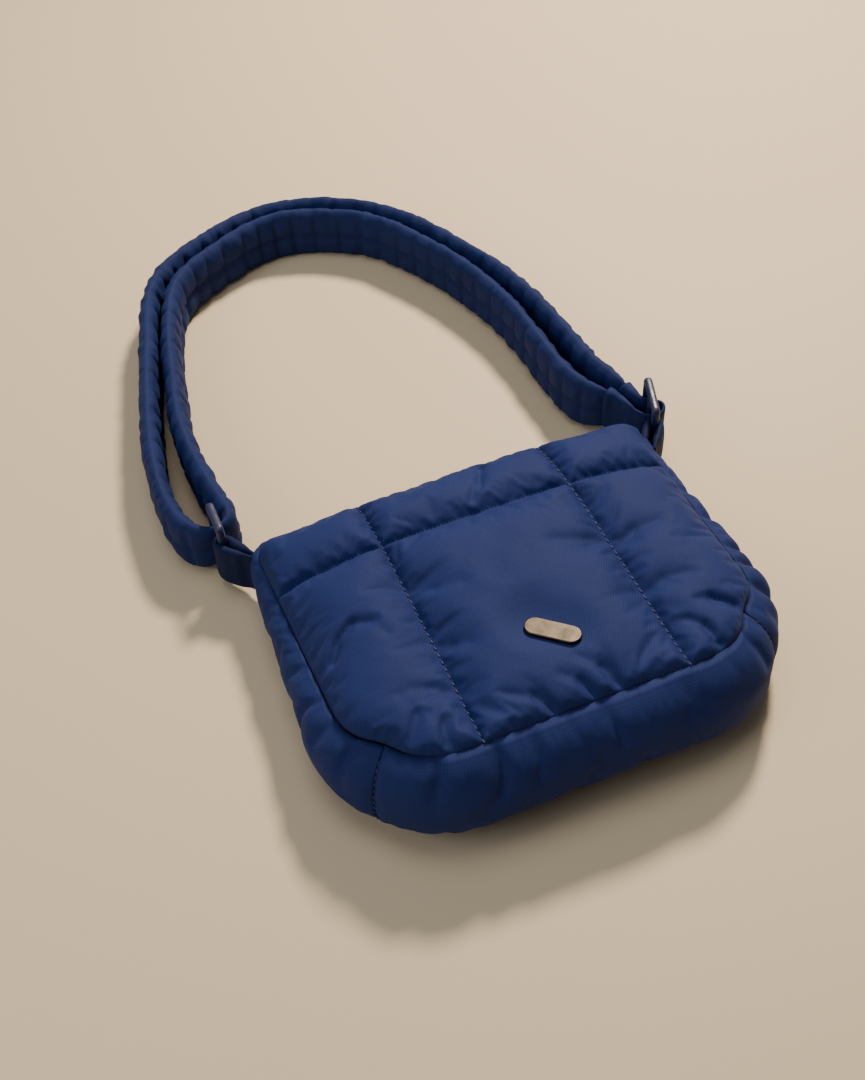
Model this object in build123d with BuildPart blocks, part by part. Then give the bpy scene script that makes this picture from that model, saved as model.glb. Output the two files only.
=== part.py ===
"""Small quilted sling bag, lying on its back with its doubled strap laid out above it.

Frame: millimetres, X along the width, +Y towards the zip and the strap, +Z up out of the front
panel. The origin is the middle of the back panel, on the surface that the bag lies on.
"""
from build123d import *
from math import cos, hypot, radians, sin, tan
import os

# ---------------------------------------------------------------- bag shell: driving dimensions
panel_width = 196.0          # both panels, seam to seam, at the zip end
panel_length = 150.0         # front panel, top seam to bottom seam
panel_top_y = 80.0           # the top seams of both panels
panel_corner = 46.0          # radius of the two lower corners
panel_top_corner = 9.0       # radius of the two upper corners
panel_taper = 2.0            # each side of a panel is this much further in at the bottom
back_extra_length = 4.0      # the back panel reaches this much lower than the front panel
back_thickness = 7.0         # padded back panel
back_edge_round = 5.0
front_thickness = 14.0       # padded, quilted front panel
front_edge_round = 11.0
front_seam_z = 38.5          # height of the front seam at the origin
front_tilt = 3.6             # degrees: the bag is thinner at the zip
belly_z = 23.0               # height where the gussets stand out the most
belly_side = 17.0            # how far the side gussets stand out, near the bottom
belly_top = 6.0              # how far they stand out beside the zip
belly_over_zip = 3.0         # how far they stand out past the top seams
belly_bottom = 18.0          # how far the bottom gusset stands out
gusset_thickness = 4.5
joint_from_side = 17.0       # a side gusset meets the bottom gusset this far in from the side seam
joint_from_bottom = 20.0     # and this far up from the bottom seam
lining_thickness = 0.8
binding_width = 6.0
binding_thickness = 1.2
layer_gap = 0.3              # between sewn layers that are separate pieces

# ---------------------------------------------------------------- zip
zip_end_inset = 10.0         # from a side seam to the outer end of a zip end tab
zip_z = 19.5                 # the line where the two rows mesh
zip_proud = 0.5              # middle of the tapes' thickness, past the top seams
tape_thickness = 1.0
row_width = 2.6
row_thickness = 2.4
row_slot = 1.2               # hairline between the rows, in which the slider's divider runs
puller_slider_length = 12.0
slider_plate = 1.2
slider_side = 0.7
slider_gap = 0.35            # between the zip slider and what runs inside it
divider_thickness = 0.6
divider_length = 2.0
stop_length = 2.4
stop_thickness = 3.2
stop_gap = 0.3
end_tab_length = 7.0
end_tab_width = 16.0
end_tab_thickness = 1.0
lug_thickness = 1.0
lug_length = 3.0
lug_gap = 0.2
pin_radius = 0.5
pin_clearance = 0.05
pin_height = 1.4             # pin above the slider's outer plate
barrel_radius = 1.1
barrel_width = 2.6
puller_length = 24.0
puller_width = 6.5
puller_thickness = 1.0
puller_neck = 3.0

# ---------------------------------------------------------------- strap and its hardware
strap_height = 30.0          # the strap's width: it stands on its edge
strap_thickness = 9.0
ribbon_end_round = 1.0       # at the corners of the strap's two ends
bar = 4.0                    # thickness of the ring's and the three-bar slider's bars
bar_flat = 0.8               # left flat along each side of a bar, between its rounded edges
slot_clearance = 1.0         # a slot is this much higher than the strap
frame_lift = 0.5             # the frames' lower bars stay this much off the surface
ring_play = 4.0              # free room beside the strap in the ring
frame_out = 12.0             # from a side seam out to a frame's near bar
ring_up = 12.0               # the ring's near bar is this far past the top seam
triglide_play = 4.5          # free room beside the end loop in the three-bar slider
triglide_down = 3.0          # the slider's near bar is this far below the top seam
triglide_turn = 72.0         # degrees from +X to the three-bar slider's long side
pinch_clearance = 0.8        # between the strap's edges and a frame's lower bar
end_loop_thickness = 3.0     # the strap's unpadded end loop
end_loop_narrower = 4.0      # than the strap
tab_narrower = 5.0
tab_thickness = 2.4
tab_bar_clearance = 0.5
tab_gap = 0.5                # between a tab's sewn base and the loop that swings
tab_split_out = 8.0          # from a side seam out to where the two meet
tab_sewn_depth = 4.0         # how far its base is sewn in from there
tab_root_out = 3.0           # from a side seam out to a tab's root
left_tab_root_down = 0.0     # from the top seam down to a tab's root
right_tab_root_down = 14.0

# ---------------------------------------------------------------- badge
badge_length = 25.0
badge_width = 9.5
badge_thickness = 1.6
badge_edge = 0.6
badge_from_bottom = 34.0     # up from the bottom seam
badge_turn = -42.0
prong_radius = 0.9
prong_pitch = 13.0
prong_clench = 1.0           # how far the prongs reach past the washers
washer_radius = 4.0
washer_thickness = 0.6

# The two routes are laid out for this bag, and move with the frames when its size changes.
route_panel_half = 98.0
route_top_y = 80.0
route_strap_thickness = 9.0
route_frame_x = 85.0         # beyond this far from the middle, a route moves as the frames do
# The strap's middle line: from its sewn end beside the three-bar slider, along the inner layer to
# the ring, through the ring, and back along the outer layer to the slider.
strap_route = [
    (99.5, 107.0), (94.5, 114.0), (89.5, 123.5), (86.5, 136.0), (85.8, 155.0), (85.0, 178.0),
    (82.5, 203.0), (75.5, 231.0), (63.0, 262.0), (47.5, 291.0), (27.0, 308.5), (2.0, 320.0),
    (-20.0, 321.5), (-45.0, 311.0), (-69.5, 298.0), (-82.5, 283.0), (-89.5, 265.0), (-95.5, 240.0),
    (-101.5, 214.0), (-106.0, 190.0), (-107.5, 165.0), (-106.0, 140.0), (-103.0, 121.0),
    (-100.8, 108.5), (-106.5, 101.6), (-117.5, 102.5), (-125.5, 113.5), (-128.0, 135.0),
    (-126.0, 163.0), (-121.0, 190.0), (-114.0, 217.0), (-107.5, 243.0), (-101.0, 268.0),
    (-92.5, 292.0), (-76.5, 309.5), (-49.0, 322.5), (-22.0, 332.5), (4.5, 331.5), (33.0, 318.5),
    (55.0, 299.0), (73.5, 267.0), (87.5, 234.0), (96.0, 205.0), (100.0, 180.0), (101.5, 158.0),
    (103.5, 137.0), (107.5, 121.0), (109.5, 107.0),
]
# The unpadded loop that the strap's two ends are sewn to: round the slider's middle bar.
end_loop_route = [
    (99.5, 107.0), (104.0, 99.5), (105.5, 91.0), (110.5, 83.8), (118.5, 83.0), (122.0, 89.7),
    (118.0, 94.0), (110.6, 95.4), (109.5, 107.0),
]

# ---------------------------------------------------------------- values worked out from those
panel_bottom_y = panel_top_y - panel_length
panel_half = panel_width / 2
joint_x = panel_half - joint_from_side
joint_y = panel_bottom_y + joint_from_bottom
front_normal = (0, sin(radians(front_tilt)), cos(radians(front_tilt)))
front_plane = Plane(origin=(0, 0, front_seam_z), x_dir=(1, 0, 0), z_dir=front_normal)
back_plane = Plane.XY.offset(back_thickness)
belly_plane = Plane.XY.offset(belly_z)
lining_inset = gusset_thickness + layer_gap
cover_inset = lining_inset + lining_thickness + layer_gap
zip_y = panel_top_y + zip_proud
zip_length = panel_width - 2 * zip_end_inset
zip_half = zip_length / 2
chain_half = zip_half - end_tab_length - stop_length
slider_rest_x = chain_half - puller_slider_length / 2 - stop_gap
row_edge = row_slot / 2 + row_width
bar_round = (bar - bar_flat) / 2
frame_slot = strap_height + slot_clearance
frame_x = panel_half + frame_out
ring_near = (-frame_x, panel_top_y + ring_up)
ring_pitch = strap_thickness + bar + ring_play
triglide_near = (frame_x, panel_top_y - triglide_down)
triglide_pitch = end_loop_thickness + bar + triglide_play
tab_split = panel_half + tab_split_out
tab_root_x = panel_half + tab_root_out
left_tab_root = (-tab_root_x, panel_top_y - left_tab_root_down)
right_tab_root = (tab_root_x, panel_top_y - right_tab_root_down)
bag_reach = panel_width + panel_length


def laid_out(points):
    """A route's points, moved with the frames, and less so towards the middle of the arch.

    At the ring, a thicker strap stands that much further from the ring's near bar.
    """
    out = panel_half - route_panel_half
    up = panel_top_y - route_top_y
    thicker = (strap_thickness - route_strap_thickness) / 2
    moved = []
    for x, y in points:
        share = max(-1, min(1, x / route_frame_x))
        moved.append((x + out * share, y + up + thicker * max(0, -share)))
    return moved


def beside(points, distance):
    """One side of a route: its points moved to the left, and the radius of each one's corner.

    On the route itself a corner's radius is 0.45 of its shorter run, over half its turn.
    """
    runs = [Vector(*end) - Vector(*start) for start, end in zip(points, points[1:])]
    normals = [Vector(-run.Y, run.X) / run.length for run in runs]
    moved = [Vector(*points[0]) + normals[0] * distance]
    radii = [ribbon_end_round]
    for index, corner in enumerate(points[1:-1]):
        turn = runs[index].get_signed_angle(runs[index + 1], Vector(0, 0, 1))
        shorter = min(runs[index].length, runs[index + 1].length)
        both = normals[index] + normals[index + 1]
        moved.append(Vector(*corner) + both * (2 * distance / both.length ** 2))
        radius = 0.45 * shorter / tan(radians(abs(turn)) / 2)
        radii.append(radius - distance if turn > 0 else radius + distance)
    moved.append(Vector(*points[-1]) + normals[-1] * distance)
    radii.append(ribbon_end_round)
    return moved, radii


def ribbon(points, thickness, bottom, height):
    """A band that stands on its edge along a route of runs and tangent arcs."""
    left, left_radii = beside(points, thickness / 2)
    right, right_radii = beside(points, -thickness / 2)
    with BuildPart() as band:
        with BuildSketch(Plane.XY.offset(bottom)):
            with BuildLine():
                FilletPolyline(*left, *reversed(right), radius=left_radii + right_radii[::-1],
                               close=True)
            make_face()
        extrude(amount=height)
    return band.part


def outline(plane, top_half, bottom_half, top_y, bottom_y, inset, corner):
    """A panel's outline: straight top, slightly slanted sides, round lower corners."""
    with BuildSketch(plane) as shape:
        with BuildLine():
            Polyline(
                (-top_half + inset, top_y - inset),
                (top_half - inset, top_y - inset),
                (bottom_half - inset, bottom_y + inset),
                (-bottom_half + inset, bottom_y + inset),
                close=True,
            )
        make_face()
        fillet(shape.vertices().sort_by(Axis.Y)[:2], radius=corner - inset)
        fillet(shape.vertices().sort_by(Axis.Y)[-2:], radius=max(panel_top_corner - inset, 1.0))
    return shape.sketch


def front_outline(plane, inset=0.0):
    bottom_half = panel_half - panel_taper
    return outline(plane, panel_half, bottom_half, panel_top_y, panel_bottom_y, inset, panel_corner)


def back_outline(plane, inset=0.0):
    bottom_half = panel_half - panel_taper
    bottom_y = panel_bottom_y - back_extra_length
    return outline(plane, panel_half, bottom_half, panel_top_y, bottom_y, inset, panel_corner)


def belly_outline(inset):
    """Where the gussets stand out the most."""
    return outline(
        belly_plane,
        panel_half + belly_top,
        panel_half - panel_taper + belly_side,
        panel_top_y + belly_over_zip,
        panel_bottom_y - belly_bottom,
        inset,
        panel_corner + belly_side,
    )


def gusset_wall(outer_inset, thickness, region):
    """The part over a plan region of the bulging wall between the two panels' seams."""
    inner_inset = outer_inset + thickness
    with BuildPart() as wall:
        loft(sections=[back_outline(back_plane, outer_inset), belly_outline(outer_inset),
                       front_outline(front_plane, outer_inset)])
        loft(sections=[back_outline(back_plane, inner_inset), belly_outline(inner_inset),
                       front_outline(front_plane, inner_inset)], mode=Mode.SUBTRACT)
        with BuildSketch(Plane.XY):
            with BuildLine():
                Polyline(*region, close=True)
            make_face()
        extrude(amount=bag_reach, mode=Mode.INTERSECT)
    return wall.part


def mirrored(points):
    return [(-x, y) for x, y in points]


def write(part, name):
    part.label = name
    export_step(part, f"parts/{name}.step")


# ---------------------------------------------------------------- panels, gussets and linings
def make_shell():
    with BuildPart() as front_panel:
        add(front_outline(front_plane))
        extrude(amount=front_thickness)
        fillet(front_panel.faces().sort_by(Axis.Z)[-1].edges(), radius=front_edge_round)
    write(front_panel.part, "front_panel")

    with BuildPart() as back_panel:
        add(back_outline(Plane.XY))
        extrude(amount=back_thickness)
        fillet(back_panel.faces().sort_by(Axis.Z)[0].edges(), radius=back_edge_round)
    write(back_panel.part, "back_panel")

    inner = 30.0
    inside = (joint_x - inner, joint_y + inner)
    outside = (joint_x + bag_reach, joint_y - bag_reach)
    zip_end = [(zip_half, bag_reach), (zip_half, panel_top_y - inner)]
    side = [inside, outside, (joint_x + bag_reach, bag_reach), *zip_end,
            (joint_x - inner, panel_top_y - inner)]
    bottom = [inside, outside, *mirrored([outside, inside])]
    open_at_zip = [*zip_end, *reversed(mirrored(zip_end)), (-bag_reach, bag_reach),
                   (-bag_reach, -bag_reach), (bag_reach, -bag_reach), (bag_reach, bag_reach)]
    write(gusset_wall(0.0, gusset_thickness, side), "side_gusset_right")
    write(gusset_wall(0.0, gusset_thickness, mirrored(side)), "side_gusset_left")
    write(gusset_wall(0.0, gusset_thickness, bottom), "bottom_gusset")
    write(gusset_wall(lining_inset, lining_thickness, open_at_zip), "gusset_lining")

    with BuildPart() as back_lining:
        add(back_outline(back_plane, cover_inset))
        extrude(amount=lining_thickness)
    write(back_lining.part, "back_lining")

    with BuildPart() as front_lining:
        add(front_outline(front_plane, cover_inset))
        extrude(amount=-lining_thickness)
    write(front_lining.part, "front_lining")

    with BuildPart() as back_binding:
        above = back_plane.offset(lining_thickness + layer_gap)
        inner_edge = back_outline(above, cover_inset + binding_thickness)
        add(back_outline(above, cover_inset) - inner_edge)
        extrude(amount=binding_width)
    write(back_binding.part, "back_seam_binding")

    with BuildPart() as front_binding:
        below = front_plane.offset(-lining_thickness - layer_gap)
        inner_edge = front_outline(below, cover_inset + binding_thickness)
        add(front_outline(below, cover_inset) - inner_edge)
        extrude(amount=-binding_width)
    write(front_binding.part, "front_seam_binding")


# ---------------------------------------------------------------- zip
def zip_bar(length, thickness, low, high, centre_x=0.0, centre_y=zip_y):
    """A flat bar along the zip, from one height above its middle line to another."""
    with BuildPart() as piece:
        with Locations((centre_x, centre_y, zip_z + (low + high) / 2)):
            Box(length, thickness, high - low)
    return piece.part


def make_zip():
    front_edge = front_seam_z - zip_y * tan(radians(front_tilt)) - layer_gap - zip_z
    back_edge = back_thickness + layer_gap - zip_z
    tape_length = zip_length - 2 * layer_gap
    write(zip_bar(tape_length, tape_thickness, row_edge, front_edge), "zip_tape_front")
    write(zip_bar(tape_length, tape_thickness, back_edge, -row_edge), "zip_tape_back")
    write(zip_bar(2 * chain_half, row_thickness, row_slot / 2, row_edge), "zip_row_front")
    write(zip_bar(2 * chain_half, row_thickness, -row_edge, -row_slot / 2), "zip_row_back")

    stop_x = chain_half + stop_length / 2
    write(zip_bar(stop_length, stop_thickness, -row_edge, row_edge, -stop_x), "zip_bottom_stop")
    with BuildPart() as top_stops:
        for low, high in ((row_slot / 2, row_edge), (-row_edge, -row_slot / 2)):
            add(zip_bar(stop_length, stop_thickness, low, high, stop_x))
    write(top_stops.part, "zip_top_stops")

    tab_y = zip_y + stop_thickness / 2 + end_tab_thickness / 2
    for end, side in (("left", -1), ("right", 1)):
        tab_x = side * (zip_half - end_tab_length / 2)
        reach = end_tab_width / 2
        tab = zip_bar(end_tab_length, end_tab_thickness, -reach, reach, tab_x, tab_y)
        write(tab, f"zip_end_tab_{end}")


def make_zip_slider():
    cavity_width = 2 * (row_edge + slider_gap)
    cavity_thickness = row_thickness + 2 * slider_gap
    body_width = cavity_width + 2 * slider_side
    body_thickness = cavity_thickness + 2 * slider_plate
    plate_y = zip_y + body_thickness / 2
    pivot_y = plate_y + pin_height
    lug_z = barrel_width / 2 + lug_gap + lug_thickness / 2
    divider_x = slider_rest_x + (puller_slider_length - divider_length) / 2

    with BuildPart() as slider_body:
        with Locations((slider_rest_x, zip_y, zip_z)):
            Box(puller_slider_length, body_thickness, body_width)
            Box(puller_slider_length, cavity_thickness, cavity_width, mode=Mode.SUBTRACT)
            Box(puller_slider_length, tape_thickness + 2 * slider_gap, body_width,
                mode=Mode.SUBTRACT)
        with Locations((divider_x, zip_y, zip_z)):
            Box(divider_length, body_thickness, divider_thickness)
        with Locations((slider_rest_x, plate_y, zip_z + lug_z), (slider_rest_x, plate_y, zip_z - lug_z)):
            Box(lug_length, pin_height, lug_thickness, align=(Align.CENTER, Align.MIN, Align.CENTER))
        with Locations((slider_rest_x, pivot_y, zip_z)):
            Cylinder(lug_length / 2, 2 * lug_z + lug_thickness)
            Cylinder(lug_length / 2, 2 * lug_z - lug_thickness, mode=Mode.SUBTRACT)
            Cylinder(pin_radius, 2 * lug_z + lug_thickness, mode=Mode.SUBTRACT)
    write(slider_body.part, "zip_slider_body")

    with BuildPart() as pin:
        with Locations((slider_rest_x, pivot_y, zip_z)):
            Cylinder(pin_radius, 2 * lug_z + lug_thickness)
    write(pin.part, "zip_puller_pin")

    with BuildPart() as puller:
        with Locations((slider_rest_x, pivot_y, zip_z)):
            Cylinder(barrel_radius, barrel_width)
        with Locations((slider_rest_x - barrel_radius / 2, pivot_y, zip_z)):
            Box(puller_neck, puller_thickness, barrel_width,
                align=(Align.MAX, Align.CENTER, Align.CENTER))
        with BuildSketch(Plane.XZ.offset(-pivot_y - puller_thickness / 2)):
            with Locations((slider_rest_x - puller_neck - puller_length / 2, zip_z)):
                RectangleRounded(puller_length, puller_width, puller_width / 2 - 0.1)
            with Locations((slider_rest_x - puller_length, zip_z)):
                Circle(puller_width / 4, mode=Mode.SUBTRACT)
        extrude(amount=puller_thickness)
        with Locations((slider_rest_x, pivot_y, zip_z)):
            Cylinder(pin_radius + pin_clearance, barrel_width, mode=Mode.SUBTRACT)
    write(puller.part, "zip_puller")


# ---------------------------------------------------------------- ring and three-bar slider
def bar_frame(name, near, turn, pitches):
    """A flat frame standing on the surface, with an upright bar at each pitch along its side."""
    side = (cos(radians(turn)), sin(radians(turn)), 0)
    standing = Plane(origin=(*near, frame_lift), x_dir=side, z_dir=(side[1], -side[0], 0))
    with BuildPart() as frame:
        with BuildSketch(standing):
            with Locations((sum(pitches) / 2, frame_slot / 2 + bar)):
                RectangleRounded(sum(pitches) + bar, frame_slot + 2 * bar, bar * 0.9)
            start = 0.0
            for pitch in pitches:
                with Locations((start + pitch / 2, frame_slot / 2 + bar)):
                    Rectangle(pitch - bar, frame_slot, mode=Mode.SUBTRACT)
                start += pitch
        extrude(amount=bar / 2, both=True)
        long_edges = frame.edges().filter_by(lambda edge: edge.length > bar)
        fillet(long_edges, radius=bar_round)
    write(frame.part, name)


# ---------------------------------------------------------------- strap
def lower_bar(near, turn, length):
    """The room that a frame's lower bar needs under the strap that it pinches."""
    side = (cos(radians(turn)), sin(radians(turn)), 0)
    middle = (near[0] + side[0] * length / 2, near[1] + side[1] * length / 2)
    with BuildPart() as room:
        with BuildSketch(Plane(origin=(*middle, 0), x_dir=side, z_dir=(0, 0, 1))):
            Rectangle(length + 2 * bar, bar + 2 * pinch_clearance)
        extrude(amount=frame_lift + bar + pinch_clearance)
    return room.part


def make_strap():
    with BuildPart() as strap:
        add(ribbon(laid_out(strap_route), strap_thickness, 0.0, strap_height))
        add(lower_bar(ring_near, 90.0, ring_pitch), mode=Mode.SUBTRACT)
    write(strap.part, "strap")
    loop_floor = frame_lift + bar + pinch_clearance
    loop_height = strap_height - end_loop_narrower
    end_loop = ribbon(laid_out(end_loop_route), end_loop_thickness, loop_floor, loop_height)
    write(end_loop, "strap_end_loop")


# ---------------------------------------------------------------- fabric tabs that hold the frames
def make_tab(side, bar_centre, root, sign):
    """A folded fabric loop round a frame's near bar: its sewn base and its swinging end."""
    inner = bar / 2 + tab_bar_clearance
    outer = inner + tab_thickness
    along = (root[0] - bar_centre[0], root[1] - bar_centre[1])
    length = hypot(*along)
    floor = frame_lift + bar + pinch_clearance
    plane = Plane(origin=(*bar_centre, floor), x_dir=(along[0], along[1], 0), z_dir=(0, 0, 1))
    with BuildPart() as whole:
        with BuildSketch(plane):
            with Locations((length / 2, 0)):
                SlotCenterToCenter(length, 2 * outer)
            Circle(inner, mode=Mode.SUBTRACT)
            with Locations((length / 4, 0)):
                Rectangle(length / 2, inner, mode=Mode.SUBTRACT)
        extrude(amount=strap_height - tab_narrower)
    base_side = Keep.BOTTOM if sign > 0 else Keep.TOP
    loop_side = Keep.TOP if sign > 0 else Keep.BOTTOM
    with BuildPart() as base:
        add(whole.part)
        split(bisect_by=Plane.YZ.offset(sign * tab_split), keep=base_side)
        split(bisect_by=Plane.YZ.offset(sign * (tab_split - tab_sewn_depth)), keep=loop_side)
        split(bisect_by=Plane.XZ.offset(bar / 2 - bar_centre[1]), keep=Keep.TOP)
    write(base.part, f"tab_base_{side}")
    with BuildPart() as loop:
        add(whole.part)
        split(bisect_by=Plane.YZ.offset(sign * (tab_split + tab_gap)), keep=loop_side)
    write(loop.part, f"tab_loop_{side}")


# ---------------------------------------------------------------- badge
def make_badge():
    face = front_plane.offset(front_thickness)
    badge_y = panel_bottom_y + badge_from_bottom
    badge_plane = Plane(face.location * Location((0, badge_y, 0), (0, 0, badge_turn)))
    depth = front_thickness + lining_thickness
    prongs = [(-prong_pitch / 2, 0), (prong_pitch / 2, 0)]
    with BuildPart() as badge_plate:
        with BuildSketch(badge_plane):
            SlotOverall(badge_length, badge_width)
        extrude(amount=badge_thickness)
        fillet(badge_plate.faces().sort_by(Axis.Z)[-1].edges(), radius=badge_edge)
    write(badge_plate.part, "badge_plate")

    with BuildPart() as badge_prongs:
        with BuildSketch(badge_plane):
            with Locations(*prongs):
                Circle(prong_radius)
        extrude(amount=-depth - washer_thickness - prong_clench)
    write(badge_prongs.part, "badge_prongs")

    with BuildPart() as badge_washers:
        with BuildSketch(badge_plane.offset(-depth)):
            with Locations(*prongs):
                Circle(washer_radius)
                Circle(prong_radius, mode=Mode.SUBTRACT)
        extrude(amount=-washer_thickness)
    write(badge_washers.part, "badge_washers")


os.makedirs("parts", exist_ok=True)
make_shell()
make_zip()
make_zip_slider()
bar_frame("ring_left", ring_near, 90.0, [ring_pitch])
bar_frame("triglide_right", triglide_near, triglide_turn, [triglide_pitch] * 2)
make_strap()
make_tab("left", ring_near, left_tab_root, -1)
make_tab("right", triglide_near, right_tab_root, 1)
make_badge()
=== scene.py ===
"""Looks of a small navy quilted sling bag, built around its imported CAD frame.

Shapes are worked out in millimetres, in the frame's own axes, and turned to metres when a mesh is
made. The panels and gussets are inflated by cloth simulation between their pinned seams.
"""

import math

import bpy
import numpy as np
from mathutils import Matrix, Vector
from mathutils.geometry import delaunay_2d_cdt


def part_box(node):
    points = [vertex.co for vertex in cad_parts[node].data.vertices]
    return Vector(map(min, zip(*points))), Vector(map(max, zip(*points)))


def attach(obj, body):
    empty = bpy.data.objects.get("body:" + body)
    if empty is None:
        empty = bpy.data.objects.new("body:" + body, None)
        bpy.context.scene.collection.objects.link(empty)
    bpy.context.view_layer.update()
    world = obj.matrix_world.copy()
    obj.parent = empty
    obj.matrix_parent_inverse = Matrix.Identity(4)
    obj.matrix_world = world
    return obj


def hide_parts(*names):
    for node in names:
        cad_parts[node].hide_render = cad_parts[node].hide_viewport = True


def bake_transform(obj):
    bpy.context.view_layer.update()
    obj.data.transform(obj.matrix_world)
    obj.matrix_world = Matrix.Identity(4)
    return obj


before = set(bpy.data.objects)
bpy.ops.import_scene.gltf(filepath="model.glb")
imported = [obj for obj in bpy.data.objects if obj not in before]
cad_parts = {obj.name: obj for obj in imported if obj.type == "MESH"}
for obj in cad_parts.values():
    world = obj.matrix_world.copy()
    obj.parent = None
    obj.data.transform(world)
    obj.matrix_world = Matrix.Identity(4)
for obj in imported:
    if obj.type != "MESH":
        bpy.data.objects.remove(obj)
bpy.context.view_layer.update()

MM = 0.001

# ---------------------------------------------------------------- sizes taken from the frame
front_low, front_high = (np.array(corner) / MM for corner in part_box("front_panel"))
back_low, back_high = (np.array(corner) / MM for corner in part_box("back_panel"))
belly_low = np.array(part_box("bottom_gusset")[0]) / MM
side_high = np.array(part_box("side_gusset_right")[1]) / MM
badge_low, badge_high = (np.array(corner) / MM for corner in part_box("badge_plate"))

# ---------------------------------------------------------------- driving dimensions, in millimetres
low_corner = 46.0            # radius of the panels' two lower corners
top_corner = 9.0
seam_z_top = 33.0            # front seam: its height at the zip, and its rise to the bottom
seam_z_rise = 16.0
seam_top_arch = 4.5          # the front seam's rise at the middle of the zip
seam_corner_dip = 4.0        # how much lower it runs at the two lower corners
quilt_level = 46.8           # height of the quilting lines over most of the panel
upright_seam_x = 46.5        # the two topstitched seams
cross_seam_y = 45.0          # the folded seam across the panel
cell_puff = 5.5              # height of the quilted cells before they are inflated
panel_mesh = 2.0             # edge length of the panels' mesh
gusset_mesh = 2.0
gusset_width = 50.0          # across the band, for its mesh, its weave and its folds
padding = 4.5                # thickness of the wadded layers away from their seams
swell_pressure = 6.0         # of the wadding, in the cloth's own units
swell_limit = 5.0
badge_turn = -42.0           # degrees
badge_reach = 7.75           # from the badge's middle to the centres of its round ends
badge_half_width = 4.75
badge_ease = 0.9             # how softly the plate's hollow meets the quilting
badge_sink = 0.1             # the quilting stays this far under the plate
badge_hollow_rise = 0.16     # how fast the hollow round the plate rises
corner_pinch = 3.2           # how far the gussets' corner joints draw the front seam in
front_tilt = 3.6             # degrees: the badge's slope towards the bottom seam
belly_share = 0.93           # gussets start this much of their full bulge
stitch_pitch = 3.85
stitch_length = 2.7
thread_radius = 0.42
coil_pitch = 1.5
coil_width = 3.2
coil_radius = 0.62
frame_bar_half = 2.0         # half of the ring's and the slider's bar
tab_clearance = 0.5          # between a bar and its tab
tab_bend_half = 1.2          # half of the tab's cloth where it goes round the bar
tab_half = 2.4               # half of the folded tab's thickness elsewhere
strap_height = 30.0
edge_ridge = 0.9             # the sewn edge that stands up along the strap's top
strap_half = 5.1             # half of the padded strap's thickness
channel_pitch = 13.0         # between the strap's cross channels

# ---------------------------------------------------------------- small tools


def linear(hex_colour):
    """An sRGB hex colour as linear RGBA."""
    channels = [int(hex_colour[i:i + 2], 16) / 255 for i in (1, 3, 5)]
    return [c / 12.92 if c <= 0.04045 else ((c + 0.055) / 1.055) ** 2.4 for c in channels] + [1.0]


def add_object(name, data):
    """An object that holds the data, linked to the scene."""
    new = bpy.data.objects.new(name, data)
    bpy.context.scene.collection.objects.link(new)
    return new


def add_node(tree, kind, inputs=None, **settings):
    """Adds a node, with its settings, and its inputs as values or as sockets to link."""
    new = tree.nodes.new(kind)
    for key, value in settings.items():
        setattr(new, key, value)
    for key, value in (inputs or {}).items():
        if isinstance(value, bpy.types.NodeSocket):
            tree.links.new(value, new.inputs[key])
        else:
            new.inputs[key].default_value = value
    return new


def noise(points, size, seed):
    """Smooth value noise from -1 to 1, whose bumps are about that size, at 3-D points."""
    cell = np.asarray(points, float) / size + seed * 17.31
    base = np.floor(cell)
    part = cell - base
    part = part * part * (3 - 2 * part)
    total = np.zeros(len(cell))
    for corner in np.ndindex(2, 2, 2):
        at = base + corner
        wave = np.sin(at @ np.array([127.1, 311.7, 74.7]) + seed) * 43758.5453
        weight = np.prod(np.where(corner, part, 1 - part), axis=1)
        total += (wave - np.floor(wave)) * weight
    return total * 2 - 1


def plan_noise(plan, size, seed):
    """The same noise at plan points."""
    return noise(np.column_stack([plan, np.zeros(len(plan))]), size, seed)


def bump(distance, width):
    """1 at zero distance, falling smoothly to 0 over about that width."""
    return np.exp(-(np.asarray(distance) / width) ** 2)


def make_piece(name, points, faces, material, body, uv=None, subdivide=0, crease=None):
    """A smooth mesh piece from millimetre points, riding on a body.

    crease holds a sharpness per point: an edge keeps the lesser of its two ends' when subdivided.
    """
    mesh = bpy.data.meshes.new(name)
    mesh.from_pydata((np.asarray(points) * MM).tolist(), [], [list(map(int, f)) for f in faces])
    mesh.materials.append(material)
    mesh.polygons.foreach_set("use_smooth", [True] * len(mesh.polygons))
    if uv is not None:
        loops = np.empty(len(mesh.loops), int)
        mesh.loops.foreach_get("vertex_index", loops)
        layer = mesh.uv_layers.new(name="UVMap")
        layer.data.foreach_set("uv", (np.asarray(uv)[loops] * MM).astype(np.float32).ravel())
    piece = add_object(name, mesh)
    if crease is not None:
        ends = np.empty(2 * len(mesh.edges), int)
        mesh.edges.foreach_get("vertices", ends)
        sharp = mesh.attributes.new("crease_edge", "FLOAT", "EDGE")
        sharp.data.foreach_set("value", crease[ends.reshape(-1, 2)].min(axis=1).astype(np.float32))
    if subdivide:
        finer = piece.modifiers.new("finer", "SUBSURF")
        finer.levels = finer.render_levels = subdivide
    if body:
        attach(piece, body)
    return piece


# ---------------------------------------------------------------- cloth


SIM_SCALE = 0.01             # the cloth is simulated with 100 mm as one unit


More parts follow.
